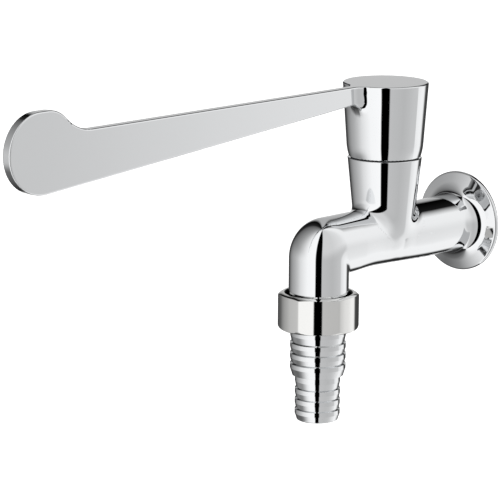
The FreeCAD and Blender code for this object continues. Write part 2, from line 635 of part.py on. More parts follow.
def blade_outline():
    """Outline of blade and paddle as (distance from the valve's axis, height) points."""
    top = HUB_TOP_Z
    paddle_z = top - PADDLE_DROP
    root_z = top - BLADE_ROOT_DEPTH
    # The lower edge runs from the valve's axis and just touches the heel's circle from below
    turn = math.radians(-HEEL_ANGLE)
    heel = (PADDLE_REACH + (PADDLE_R - HEEL_R) * math.cos(turn), paddle_z + (PADDLE_R - HEEL_R) * math.sin(turn))
    span = math.hypot(heel[0], heel[1] - root_z)
    slope = math.atan2(heel[1] - root_z, heel[0]) - math.asin(HEEL_R / span)
    touch = (heel[0] + HEEL_R * math.sin(slope), heel[1] - HEEL_R * math.cos(slope))
    # The shoulder rounds the crown off, and the neck's hollow touches both it and the top edge
    shoulder = (PADDLE_REACH - CROWN_FLAT, paddle_z + PADDLE_R - SHOULDER_R)
    neck_z = top + NECK_R
    joined = SHOULDER_R + NECK_R
    neck = (shoulder[0] - math.sqrt(joined ** 2 - (neck_z - shoulder[1]) ** 2), neck_z)
    meet = tuple(s + (n - s) * SHOULDER_R / joined for s, n in zip(shoulder, neck))

    def on_circle(centre, radius, start, end):
        """Middle and end of an arc, by angles in radians."""
        half = (start + end) / 2
        return tuple((centre[0] + radius * math.cos(a), centre[1] + radius * math.sin(a)) for a in (half, end))

    meet_angle = math.atan2(meet[1] - shoulder[1], meet[0] - shoulder[0])
    neck_angle = meet_angle - math.pi
    return [
        (0, root_z),
        touch,
        on_circle(heel, HEEL_R, slope - math.pi / 2, turn),
        on_circle((PADDLE_REACH, paddle_z), PADDLE_R, turn, math.pi / 2),
        (shoulder[0], shoulder[1] + SHOULDER_R),
        on_circle(shoulder, SHOULDER_R, math.pi / 2, meet_angle),
        on_circle(neck, NECK_R, neck_angle, -math.pi / 2),
        (0, top),
    ]


def middle_of(edge):
    """Point halfway along an edge."""
    return edge.valueAt((edge.FirstParameter + edge.LastParameter) / 2)


def blade():
    """Upright plate from the valve's axis out to the round paddle, its edges rounded."""
    half = BLADE_THICKNESS / 2
    face = outline(blade_outline(), lambda out, z: Vector(-half, -VALVE_REACH - out, z))
    plate = face.extrude(Vector(BLADE_THICKNESS, 0, 0))
    long_edges = [e for e in plate.Edges if abs(middle_of(e).x) > half - 0.01 and middle_of(e).y < -VALVE_REACH - 1]
    return plate.makeFillet(LEVER_EDGE, long_edges)


def cone_radius(z):
    """Radius of the hub's cone at a height."""
    return HUB_LOW_R + (HUB_TOP_R - HUB_LOW_R) * (z - HUB_LOW) / (HUB_TOP_Z - HUB_LOW)


def hub(top):
    """Outside of the handle's hub: a cone, wider at the top, that draws in softly at its foot."""
    lean = HUB_RIM * (1 - math.sqrt(0.5))
    low = HUB_LOW + HUB_RIM
    eased = HUB_LOW + HUB_EASE
    middle = (low + eased) / 2
    foot_r = cone_radius(low) - HUB_DRAW
    return turned([
        (0, HUB_LOW),
        (foot_r - HUB_RIM, HUB_LOW),
        ((foot_r - lean, HUB_LOW + lean), (foot_r, low)),
        ((cone_radius(middle) - HUB_DRAW / 4, middle), (cone_radius(eased), eased)),
        (cone_radius(top), top),
        (0, top),
    ], VALVE)


def lever_root():
    """Hub and the blade's first stretch, with a hollow where they meet that runs out in the flat top."""
    extra = 2 * BLADE_FLARE
    top = HUB_TOP_Z + extra
    half = BLADE_THICKNESS / 2
    root, touch = blade_outline()[:2]
    low = root[1] + (touch[1] - root[1]) * ROOT_LENGTH / touch[0]
    corners = [root, (ROOT_LENGTH, low), (ROOT_LENGTH, top), (0, top)]
    face = outline(corners, lambda out, z: Vector(-half, -VALVE_REACH - out, z))
    stretch = face.extrude(Vector(BLADE_THICKNESS, 0, 0))
    lower = [e for e in stretch.Edges if abs(middle_of(e).x) > half - 0.01 and e.BoundBox.YLength > 1
             and middle_of(e).z < HUB_TOP_Z]
    tall = hub(top).fuse(stretch.makeFillet(LEVER_EDGE, lower)).removeSplitter()
    seam = [e for e in tall.Edges if on_seam(e, half)]
    tall = tall.makeFillet(BLADE_FLARE, seam)
    size = 2 * (ROOT_LENGTH + HUB_TOP_R)
    above = Part.makeBox(size, size, 2 * extra, Vector(-size / 2, -VALVE_REACH - size / 2, HUB_TOP_Z))
    level = tall.cut(above)
    end_y = -VALVE_REACH - ROOT_LENGTH
    rim = [e for e in level.Edges if e.BoundBox.ZMin > HUB_TOP_Z - 0.01 and middle_of(e).y > end_y + 0.01]
    return level.makeFillet(LEVER_EDGE, rim)


def on_seam(edge, half):
    """Tell whether an edge lies where the blade, half as thick on each side, meets the hub's cone."""
    point = middle_of(edge)
    away = math.hypot(point.x, point.y + VALVE_REACH)
    beside = abs(point.x) < half + 0.01 and point.y < -VALVE_REACH
    return beside and point.z > HUB_LOW + HUB_EASE and abs(away - cone_radius(point.z)) < 0.02


def across_hub(radius, start, end):
    """Cylinder on the grub screw's axis, start and end counted from the valve's axis towards the wall."""
    foot = VALVE + Vector(0, start, GRUB_Z)
    return Part.makeCylinder(radius, end - start, foot, -OUT)


def lever_handle():
    """Lever handle: hub, blade and paddle in one casting, hollow under the hub's roof."""
    size = 2 * (ROOT_LENGTH + HUB_TOP_R)
    near = Part.makeBox(size, ROOT_LENGTH + size, 2 * HUB_TOP_Z, Vector(-size / 2, -VALVE_REACH - ROOT_LENGTH, 0))
    solid = lever_root().fuse(blade().cut(near)).removeSplitter()
    cavity = turned([
        (0, HUB_LOW),
        (cone_radius(HUB_LOW) - HUB_WALL, HUB_LOW),
        (cone_radius(ROOF_LOW) - HUB_WALL, ROOF_LOW),
        (0, ROOF_LOW),
    ], VALVE)
    boss = disc(BOSS_R, BOSS_LOW, ROOF_LOW, VALVE).fuse(across_hub(GRUB_BOSS_R, 0, 2 * HUB_TOP_R))
    socket = disc(INSERT_R, BOSS_LOW - 2 * GRUB_BOSS_R, INSERT_TOP, VALVE)
    grub_hole = across_hub(GRUB_R + SLIP, 0, 2 * HUB_TOP_R)
    return solid.cut([cavity.cut(boss), socket, grub_hole])


def spline_insert():
    """Plastic insert in the hub's boss, broached to fit the spindle's splines."""
    sleeve = disc(INSERT_R, INSERT_LOW, INSERT_TOP, VALVE).fuse(disc(INSERT_FLANGE_R, INSERT_LOW, BOSS_LOW, VALVE))
    broach = splines(SPLINE_R + SPLINE_SLACK, INSERT_LOW, INSERT_TOP)
    dimple = across_hub(GRUB_R, INSERT_R - GRUB_BITE, 2 * INSERT_R)
    return sleeve.cut([broach, dimple])


def handle_grub_screw():
    """Grub screw that holds the handle on the insert, driven from the back of the hub."""
    start = INSERT_R - GRUB_BITE
    end = start + GRUB_LENGTH
    cup = GRUB_R - GRUB_THREAD_DEPTH
    points = [(0, start), (cup, start)]
    points += thread(GRUB_R, start + GRUB_THREAD_DEPTH, end, GRUB_PITCH, GRUB_THREAD_DEPTH, GRUB_CREST)
    points += [(0, end)]
    face = outline(points, lambda r, out: VALVE + Vector(r, out, GRUB_Z))
    screw = face.revolve(VALVE + Vector(0, 0, GRUB_Z), -OUT, 360)
    return screw.cut(hexagon(GRUB_KEY, VALVE + Vector(0, end, GRUB_Z), GRUB_KEY_DEPTH, OUT, 0))


def union_nut():
    """Union nut: hexagon with soft corners, a turned chamfer on top and a rounded foot."""
    prism = hexagon(NUT_FLATS, SPOUT + Vector(0, 0, NUT_LOW), NUT_HEIGHT, UP, NUT_TURN - 90)
    prism = prism.makeFillet(NUT_CORNER, [e for e in prism.Edges if e.BoundBox.ZLength > NUT_HEIGHT / 2])
    reach = NUT_FLATS / math.sqrt(3) - NUT_CORNER * (2 / math.sqrt(3) - 1)
    lean = 1 - math.sqrt(0.5)
    blank = turned([
        (0, NUT_LOW),
        (reach - NUT_FOOT, NUT_LOW),
        ((reach - NUT_FOOT * lean, NUT_LOW + NUT_FOOT * lean), (reach, NUT_LOW + NUT_FOOT)),
        (reach, NUT_TOP - NUT_CHAMFER_DROP),
        (reach - NUT_CHAMFER, NUT_TOP),
        (0, NUT_TOP),
    ], SPOUT)
    hole = BIG_BARB_R + TAIL_SLACK
    inside = turned([
        (0, NUT_LOW),
        (hole, NUT_LOW),
        (hole, LIP_TOP),
        (NUT_BORE_R, LIP_TOP),
        (NUT_BORE_R, NUT_TOP - NUT_MOUTH),
        (NUT_BORE_R + NUT_MOUTH, NUT_TOP),
        (0, NUT_TOP),
    ], SPOUT)
    return prism.common(blank).cut(inside)


def outlet_washer():
    """Flat rubber washer between the spout's end and the hose tail."""
    low = TAIL_TOP + FACE_GAP
    return ring(TAIL_COLLAR_R - WASHER_SHY, WATERWAY_R + 2 * WASHER_SHY, low, SPOUT_END, SPOUT)


def barbs(barb_r, root_r, first):
    """Outline of a row of hose teeth from the level first down, as (radius, level) points."""
    points = []
    for i in range(BARBS):
        edge = first - i * BARB_PITCH
        points += [(root_r, edge - BARB_HOOK), (barb_r, edge), (barb_r, edge - BARB_LAND)]
    return points


def hose_nozzle():
    """Hose tail with a row of large teeth, a step and a row of small teeth."""
    first = NUT_LOW - TAIL_NECK_LENGTH
    step = first - (BARBS - 1) * BARB_PITCH - STEP_DROP
    step_foot = step - STEP_HEIGHT
    second = step_foot - STEP_NECK_LENGTH
    tip = second - (BARBS - 1) * BARB_PITCH - TIP_LENGTH
    lean = 1 - math.sqrt(0.5)
    return turned([
        (WATERWAY_R, TAIL_TOP),
        (TAIL_COLLAR_R, TAIL_TOP),
        (TAIL_COLLAR_R, LIP_TOP + FACE_GAP),
        (BIG_BARB_R, LIP_TOP + FACE_GAP),
        (BIG_BARB_R, NUT_LOW - TAIL_NECK_STRAIGHT),
    ] + barbs(BIG_BARB_R, BIG_ROOT_R, first) + [
        (STEP_R, step),
        (SMALL_BARB_R, step_foot),
        (SMALL_BARB_R, step_foot - STEP_NECK_STRAIGHT),
    ] + barbs(SMALL_BARB_R, SMALL_ROOT_R, second) + [
        (TIP_R, tip + TIP_ROUND),
        ((TIP_R - TIP_ROUND * lean, tip + TIP_ROUND * lean), (TIP_R - TIP_ROUND, tip)),
        (TAIL_BORE_R, tip),
        (TAIL_BORE_R, TAIL_TOP - TAIL_ENTRY_DEPTH),
    ], SPOUT)


def pieces():
    """Every piece by its name."""
    low_ring, high_ring = spindle_ring_levels()
    return {
        "body": body(),
        "wall_seal": wall_seal(),
        "fixing_screw": fixing_screw(),
        "glide_ring": glide_ring(),
        "headwork_body": headwork_body(),
        "headwork_o_ring": headwork_o_ring(),
        "seat_seal": seat_seal(),
        "seal_support_ring": seal_support_ring(),
        "fixed_disc": fixed_disc(),
        "moving_disc": moving_disc(),
        "spindle": spindle(),
        "spindle_o_ring_lower": spindle_o_ring(low_ring),
        "spindle_o_ring_upper": spindle_o_ring(high_ring),
        "spindle_circlip": spindle_circlip(),
        "thrust_washer": thrust_washer(),
        "lever_handle": lever_handle(),
        "spline_insert": spline_insert(),
        "handle_grub_screw": handle_grub_screw(),
        "union_nut": union_nut(),
        "outlet_washer": outlet_washer(),
        "hose_nozzle": hose_nozzle(),
    }


os.makedirs("parts", exist_ok=True)
for name, shape in pieces().items():
    shape.Solids[0].exportStep("parts/" + name + ".step")
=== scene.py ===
"""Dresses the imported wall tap: chrome outside, brass, ceramic, rubber and plastic inside, in a light tent."""
import json
import math

import bpy
import numpy as np
from mathutils import Matrix


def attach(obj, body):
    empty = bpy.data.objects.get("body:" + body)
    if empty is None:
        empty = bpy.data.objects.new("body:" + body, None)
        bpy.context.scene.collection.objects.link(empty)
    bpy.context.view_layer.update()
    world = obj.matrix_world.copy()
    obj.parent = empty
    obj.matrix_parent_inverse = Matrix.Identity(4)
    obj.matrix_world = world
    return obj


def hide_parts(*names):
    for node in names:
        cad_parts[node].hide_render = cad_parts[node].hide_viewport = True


bl_info = {
    "name": "Elbow-lever wall tap",
    "version": (1, 0, 0),
    "blender": (4, 5, 0),
    "location": "3D View > Sidebar > Wall tap",
    "description": "Finishes of a wall-mounted tap with a long lever, and the light tent it is shown in",
    "category": "Object",
}

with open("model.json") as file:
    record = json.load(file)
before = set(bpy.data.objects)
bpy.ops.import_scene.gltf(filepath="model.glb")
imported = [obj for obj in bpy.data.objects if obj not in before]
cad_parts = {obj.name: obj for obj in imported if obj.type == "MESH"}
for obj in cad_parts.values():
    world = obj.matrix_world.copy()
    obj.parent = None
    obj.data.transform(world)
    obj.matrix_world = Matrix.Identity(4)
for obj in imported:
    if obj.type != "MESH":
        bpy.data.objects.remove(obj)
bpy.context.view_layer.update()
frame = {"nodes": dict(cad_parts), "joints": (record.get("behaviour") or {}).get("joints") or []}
MM = 0.001
SHARP = math.radians(35)                        # edges that turn more than this are not shaded smooth
VALVE = frame["joints"][0]["pos_m"][1] / MM     # axis of headwork and handle, in millimetres along Y
SPOUT = frame["joints"][2]["pos_m"][1] / MM     # axis of spout, nut and tail

# The photograph's camera
CAMERA_PLACE = (0.837253, -1.022142, 0.256606)
CAMERA_LENS, CAMERA_SENSOR = 230.4, 36.0     # focal length and sensor's width, in millimetres
CAMERA_AZIMUTH, CAMERA_DIP, CAMERA_ROLL = 43.144, 11.582, 0.457     # in degrees
CAMERA_REACH = 200.0                         # in metres, far enough for the whole floor

# The light tent: azimuth from the camera's side of the tap, in degrees, positive to the right of the
# picture, and the brightness of the wall there. DEEP is far below the tap, LOW level with it, HIGH above.
# DARK, a part of all three, is the bright wall left of the camera and the dark gap around it. The walls
# between two entries fade from one to the other.
TENT_DARK = ((-45, 1.12), (-15.5, 1.16), (-13, 0.0), (8.5, 0.0))
TENT_DEEP = (
    (-180, 0.02), (-160, 0.03), (-135, 0.10), (-105, 0.16), (-90, 0.28), (-75, 0.6), (-60, 0.95),
    *TENT_DARK, (11, 0.63), (46, 0.60), (69, 0.63), (83, 0.72), (92, 0.82), (103, 0.95), (114, 1.08),
    (147, 1.05), (157, 0.02), (180, 0.02),
)
TENT_LOW = (
    (-180, 0.74), (-172, 0.70), (-168, 0.04), (-152, 0.05), (-143, 0.16), (-135, 0.26), (-120, 0.40),
    (-105, 0.50), (-90, 0.64), (-75, 0.86), (-60, 1.0), *TENT_DARK, (11, 0.62), (51, 0.57), (69, 0.61),
    (89.5, 0.67), (91, 0.73), (95, 0.90), (104, 0.98), (115, 1.07), (127, 1.05), (137, 0.08), (166, 0.03),
    (171, 0.70), (180, 0.74),
)
TENT_HIGH = (
    (-180, 0.50), (-173, 0.48), (-166, 0.0), (-150, 0.02), (-140, 0.14), (-120, 0.26), (-105, 0.34),
    (-90, 0.46), (-75, 0.66), (-60, 0.9), *TENT_DARK, (11, 0.76), (50, 0.76), (80, 0.88), (95, 1.02),
    (110, 1.04), (125, 0.3), (131, 0.01), (166, 0.0), (173, 0.48), (180, 0.50),
)
TENT_STEPS = ((-36, -18), (-7, 20))    # elevations between which one profile turns into the next, in degrees
BACKDROP = 1.05                        # brightness that the camera itself sees around the tap


class TapFinish(bpy.types.PropertyGroup):
    """Colours and polish of the tap's metals, rubber and plastics."""
    chrome: bpy.props.FloatVectorProperty(
        name="Chrome", description="Colour of the chrome plating", subtype="COLOR", size=3, min=0, max=1,
        default=(0.82, 0.83, 0.84))
    chrome_roughness: bpy.props.FloatProperty(
        name="Chrome roughness", description="Roughness of the polished plating", default=0.03, min=0, max=1,
        subtype="FACTOR")
    nut: bpy.props.FloatVectorProperty(
        name="Nut", description="Slightly warmer plating of the union nut", subtype="COLOR", size=3,
        min=0, max=1, default=(0.82, 0.817, 0.803))
    brass: bpy.props.FloatVectorProperty(
        name="Brass", description="Colour of the turned brass", subtype="COLOR", size=3, min=0, max=1,
        default=(0.78, 0.62, 0.34))
    steel: bpy.props.FloatVectorProperty(
        name="Steel", description="Colour of screws and clip", subtype="COLOR", size=3, min=0, max=1,
        default=(0.62, 0.63, 0.64))
    rubber: bpy.props.FloatVectorProperty(
        name="Rubber", description="Colour of rings and washers", subtype="COLOR", size=3, min=0, max=1,
        default=(0.03, 0.03, 0.03))
    white_plastic: bpy.props.FloatVectorProperty(
        name="White plastic", description="Colour of insert, support ring and thrust washer", subtype="COLOR",
        size=3, min=0, max=1, default=(0.86, 0.85, 0.81))
    grey_plastic: bpy.props.FloatVectorProperty(
        name="Grey plastic", description="Colour of the glide ring in the gap under the handle",
        subtype="COLOR", size=3, min=0, max=1, default=(0.05, 0.05, 0.055))
    ceramic: bpy.props.FloatVectorProperty(
        name="Ceramic", description="Colour of the two lapped discs", subtype="COLOR", size=3, min=0, max=1,
        default=(0.9, 0.88, 0.83))


class TapStudio(bpy.types.PropertyGroup):
    """Floor and light around the tap."""
    floor_drop: bpy.props.FloatProperty(
        name="Floor drop", description="Height of the inlet's axis above the floor", default=1.0, min=0.2,
        subtype="DISTANCE", unit="LENGTH")
    floor_radius: bpy.props.FloatProperty(
        name="Floor radius", description="Radius of the round floor", default=30.0, min=5, subtype="DISTANCE",
        unit="LENGTH")
    floor: bpy.props.FloatVectorProperty(
        name="Floor", description="Colour of the pale floor", subtype="COLOR", size=3, min=0, max=1,
        default=(0.93, 0.93, 0.93))
    tent_light: bpy.props.FloatProperty(
        name="Tent light", description="Strength of the light from the tent's walls", default=1.0, min=0)


class Value:
    """A shader value for Python expressions: each operator adds its Math node."""

    def __init__(self, tree, socket):
        self.tree, self.socket = tree, socket

    def math(self, operation, *values):
        return self.tree.node("Math", {"operation": operation}, dict(enumerate(values)))

    def __add__(self, other):
        return self.math("ADD", self, other)

    def __sub__(self, other):
        return self.math("SUBTRACT", self, other)

    def __rsub__(self, other):
        return self.math("SUBTRACT", other, self)

    def __mul__(self, other):
        return self.math("MULTIPLY", self, other)

    def __truediv__(self, other):
        return self.math("DIVIDE", self, other)

    def __rtruediv__(self, other):
        return self.math("DIVIDE", other, self)

    __radd__ = __add__
    __rmul__ = __mul__


class Shader:
    """Node tree of a material or world, emptied and ready for new nodes."""

    def __init__(self, owner):
        owner.use_nodes = True
        self.nodes, self.links = owner.node_tree.nodes, owner.node_tree.links
        self.nodes.clear()

    def node(self, kind, settings=None, inputs=None, output=0):
        """Adds a node, its settings first, then the values or links of its sockets, and gives an output."""
        made = self.nodes.new("ShaderNode" + kind)
        for name, setting in (settings or {}).items():
            if name == "stops":
                ramp = made.color_ramp.elements
                while len(ramp) < len(setting):
                    ramp.new(1)
                for element, (place, colour) in zip(ramp, setting):
                    element.position, element.color = place, colour
            else:
                setattr(made, name, setting)
        for name, given in (inputs or {}).items():
            if isinstance(given, Value):
                self.links.new(given.socket, made.inputs[name])
            else:
                made.inputs[name].default_value = given
        return Value(self, made.outputs[output])

    def end(self, kind, surface):
        """Adds the output node and links the surface to it."""
        self.links.new(surface.socket, self.nodes.new("ShaderNode" + kind).inputs["Surface"])


# Sizes of the cast body, in millimetres and degrees, and the numbers of its rings
FLANGE_R, FLANGE_RIM, FLANGE_EDGE, FLANGE_BACK_EDGE = 20.8, 2.0, 1.0, 0.3
FLARE = ((30.0, 0, 8), (5.0, 8, 46), (7.6, 46, 72))     # hollow arcs from the tube out: radius, start, end
RIM_STEPS, FLARE_STEPS = 9, 14
SCREW_X, SCREW_Z, SCREW_HOLE_R, SCREW_HOLE_END = 12.196, 12.411, 2.38, 0.05
SCREW_PATCH = 14.8, 9.5               # room for the hole: radius of its inner end, and degrees to either side
TUBE_R, WAIST_R, SPOUT_R = 11.9, 11.7, 12.1
TUBE_LIFT, LIFT_START, LIFT_END = 0.9, 22.0, 60.0
TUBE_END, TUBE_RINGS, ELBOW_RINGS, LINK_RINGS = 72.0, 75, 64, 10    # links join the elbow to tube and spout
BEND_R, CREASE_R = 3.8, 1.2           # elbow's centre line and the rounding of its inner crease
TOWER_FOOT_R, TOWER_TOP_R, TOWER_TOP_Z, TOWER_RIM = 11.7, 15.15, 33.1, 0.3
TOWER_BORE = ((9.6, 2.5), (9.6, 19.2), (10.56, 19.2), (10.56, 30.5), (12.1, 30.5), (12.1, 31.9),
              (13.75, 31.9), (13.75, TOWER_TOP_Z))   # radius and height, from the chamber's floor up
BELLY_Z, BELLY_INSET, BELLY_FLATNESS = 0.7, 0.03, 1.15  # tower's round lower end: its top, inset and form
SEAM_LOW, SEAM_HIGH, HALVINGS = -3.0, 20.0, 40  # heights between which the seam of tower and tube is sought
TOWER_RINGS, TOWER_CROWDING = 44, 1.7           # rings of the wall, and how closely they crowd at the seam
SKIRT_RINGS, SKIRT_CROWDING = 29, 1.15          # the same for the skirt
SADDLE = 4.5                          # width of the blend on each side of the seam of tower and tube
SKIRT, SKIRT_END = 6.0, 8.0           # where the tower's skirt starts to dip under the tube, and its end
DIP, OVERLAP, SUNK = 1.5, 1.0, 0.06   # that dip's length, how far the tube dips inside of it, their depth
PIT_R, PIT_FLOOR, PIT_WALL = 11.6, 1.5, 0.8    # room for the headwork in the tube's skin, hidden by the tower
TOWER_END = -2.0                      # level at which the tower's skin closes inside the tube
SPOUT_Z, THREAD_Z, THREAD_STEP = -28.35, -21.45, 0.1    # spout's end, its thread's top, and the slope to it
SPOUT_LEVELS = -15.0, -18.0, THREAD_Z                   # rings of the spout between elbow and thread
INLET_BORE_R, INLET_LENGTH, INLET_DEPTH, INLET_EDGE = 7.5, 12.0, 36.2, 0.4
SEAL_SEAT_R, SEAL_SEAT_DEPTH = 12.48, 0.6
WATERWAY_R, WATERWAY_END = 8.6, -14.0
INLET_THREAD_R, OUTLET_THREAD_R = 10.48, 13.22
THREAD_PITCH, THREAD_DEPTH, THREAD_CREST = 1.814, 1.16, 0.35
COLUMNS = 288                         # points round each ring
SLOPE_STEP, WALL_STEP = 0.002, 0.01   # steps for measuring the slopes of the blend and the tower's wall
PULLS = 8                             # times that the tower's skin is drawn towards the blend

# Sizes of the union nut, in millimetres and degrees
NUT_TOP, NUT_HEIGHT, NUT_LIP, NUT_TURN = -17.3, 14.85, 2.0, 43.0
NUT_MIDDLE, NUT_CORNER = 15.7, 1.6          # middle of a side from the axis, radius of the corners
NUT_CROWN, NUT_CROWN_TURN = 16.5, 12.0      # radius of a side's middle, and half its turn
NUT_SIDE = 70.0                             # radius of a side beside its middle
NUT_FOOT, NUT_CHAMFER = 1.8, (1.5, 0.9)     # rounding of the foot, width and drop of the chamfer
NUT_BORE_R, NUT_HOLE_R, NUT_MOUTH = 13.3, 11.4, 0.5


def smooth(share):
    """Goes softly from 0 to 1 as share does, and stays level before and after."""
    share = np.clip(share, 0, 1)
    return share * share * (3 - 2 * share)


def tube_at(out):
    """Radius of the tube and height of its middle at a distance out of the wall."""
    lift = smooth((out - LIFT_START) / (LIFT_END - LIFT_START))
    swell = smooth((out - LIFT_END) / (-SPOUT - SPOUT_R - LIFT_END))
    radius = TUBE_R + (WAIST_R - TUBE_R) * lift + (SPOUT_R - WAIST_R) * swell
    return radius, TUBE_LIFT * lift - (SPOUT_R - WAIST_R) * swell


def quads_between(at):
    """Quads between each ring of point numbers and the next: at is (rings, columns)."""
    after = np.roll(at, -1, 1)
    return np.stack([at[:-1], after[:-1], after[1:], at[1:]], -1)


def fan(pole, ring):
    """Triangles from a pole to each two neighbours in a ring of point numbers."""
    return np.stack([np.full(len(ring), pole), ring, np.roll(ring, -1)], -1)


def skin_mesh(name, points, faces):
    """Mesh of points in mm, shaded smooth but for its sharp edges."""
    mesh = bpy.data.meshes.new(name)
    mesh.from_pydata((points * MM).tolist(), [], faces)
    mesh.shade_smooth()
    mesh.set_sharp_from_angle(angle=SHARP)
    return mesh


def loop_mesh(name, rows):
    """Closed skin of a hollow piece: rows is (rings, columns, 3) in mm, the last ring joins the first."""
    at = np.arange(rows.shape[0] * rows.shape[1]).reshape(rows.shape[:2])
    quads = quads_between(np.vstack([at, at[:1]])).reshape(-1, 4)
    return skin_mesh(name, rows.reshape(-1, 3), quads.tolist())


def grid_mesh(name, rows, head, tail, normals, first, patch=None):
    """Closed skin through rings of points: rows is (rings, columns, 3) in mm, head and tail are the poles.
    normals are those of the rings from the first on; all others come from the faces. patch is the stretch
    of rings and columns that makes room for the screw's hole."""
    rings, columns = rows.shape[:2]
    points = np.vstack([[head], rows.reshape(-1, 3), [tail]])
    at = 1 + np.arange(rings * columns).reshape(rings, columns)
    quads = quads_between(at)
    fans = [fan(0, at[0])[:, ::-1], fan(len(points) - 1, at[-1])]
    if patch:
        top, low, left, right = patch
        kept = np.ones(quads.shape[:2], bool)
        kept[top:low, left:right] = False
        loop = np.concatenate([at[top, left:right], at[top:low, right],
                               at[low, right:left:-1], at[low:top:-1, left]])
        hole, end = screw_hole(points[loop])
        inner = len(points) + np.arange(len(hole) * len(loop)).reshape(len(hole), -1)
        points = np.vstack([points, hole.reshape(-1, 3), [end]])
        fans.append(fan(len(points) - 1, inner[-1]))
        quads = np.vstack([quads[kept], quads_between(np.vstack([loop[None], inner])).reshape(-1, 4)])
    mesh = skin_mesh(name, points, quads.reshape(-1, 4).tolist() + np.vstack(fans).tolist())
    given = np.zeros_like(points)
    start = 1 + first * columns
    given[start:start + normals.size // 3] = normals.reshape(-1, 3)
    mesh.normals_split_custom_set_from_vertices(given.tolist())
    return mesh


def full_turn():
    """Angles of a ring's points."""
    return np.arange(COLUMNS) * 2 * np.pi / COLUMNS


def rings_about(profile, axis, centre):
    """Rings of a turned skin: each (radius, level) of the profile goes round the axis, Z or -Y, at centre."""
    turn = full_turn()
    radius, height = np.asarray(profile, float).T[:, :, None]
    side, other = radius * np.cos(turn), radius * np.sin(turn)
    level = np.broadcast_to(height, side.shape)
    parts = (side, -other, level) if axis == "Z" else (side, -level, other)
    return np.stack(parts, -1) + centre


def arc(centre, radius, start, end, steps):
    """Points on an arc of the profile plane, from start to end degrees."""
    angle = np.radians(np.linspace(start, end, steps))
    return np.stack([centre[0] + radius * np.cos(angle), centre[1] + radius * np.sin(angle)], -1).tolist()


def thread(radius, start, end):
    """Plain rings at a pipe thread's pitch, from start to end along its axis."""
    way = np.sign(end - start)
    root, crest, flank = radius - THREAD_DEPTH, way * THREAD_CREST, way * (THREAD_PITCH / 2 - THREAD_CREST)
    count = int(abs(end - start) / THREAD_PITCH)
    first = (start + end - way * count * THREAD_PITCH) / 2
    marks = [(root, start)]
    for turn in range(count):
        low = first + way * turn * THREAD_PITCH
        marks += [(root, low), (radius, low + flank), (radius, low + flank + crest),
                  (root, low + 2 * flank + crest)]
    return marks + [(root, end)]


def flange_face():
    """Profile of the flange's front from the rim in to the tube: the rim's rounding, a cone and the flare's
    hollow arcs. They are found from the tube outwards, and then moved along the inlet so that the cone meets
    the rim."""
    lean = FLARE[-1][2]
    rim = arc((FLANGE_R - FLANGE_EDGE, FLANGE_RIM - FLANGE_EDGE), FLANGE_EDGE, 0, lean, RIM_STEPS)
    flare = [(TUBE_R, 0.0)]
    for radius, start, end in FLARE:
        turn = math.radians(start)
        centre = flare[-1][0] + radius * math.cos(turn), flare[-1][1] + radius * math.sin(turn)
        flare += arc(centre, radius, 180 + start, 180 + end, FLARE_STEPS)[1:]
    drop = rim[-1][1] + (rim[-1][0] - flare[-1][0]) / math.tan(math.radians(lean)) - flare[-1][1]
    flare = [(reach, level + drop) for reach, level in flare[::-1]]
    cone = [tuple(np.array(rim[-1]) + (np.array(flare[0]) - rim[-1]) * share) for share in (0.1, 0.5, 0.9)]
    return rim + cone + flare


def screw_hole(loop):
    """Rings from a loop of points on the flange in to the screw's hole, down its wall, and the middle of its
    floor. Points between loop and hole lie on the flange's face, at their distance from the inlet's axis."""
    side, level = loop[:, 0] - SCREW_X, loop[:, 2] - SCREW_Z
    away = np.hypot(side, level)
    face = np.array(flange_face())[::-1]
    rings = []
    for share in (0.3, 0.6, 0.9, 1.0):
        scale = (away + (SCREW_HOLE_R - away) * share) / away
        across, up = SCREW_X + side * scale, SCREW_Z + level * scale
        rings.append(np.stack([across, -np.interp(np.hypot(across, up), face[:, 0], face[:, 1]), up], -1))
    rings.append(np.stack([across, np.full(len(loop), -SCREW_HOLE_END), up], -1))
    return np.array(rings), (SCREW_X, -SCREW_HOLE_END, SCREW_Z)


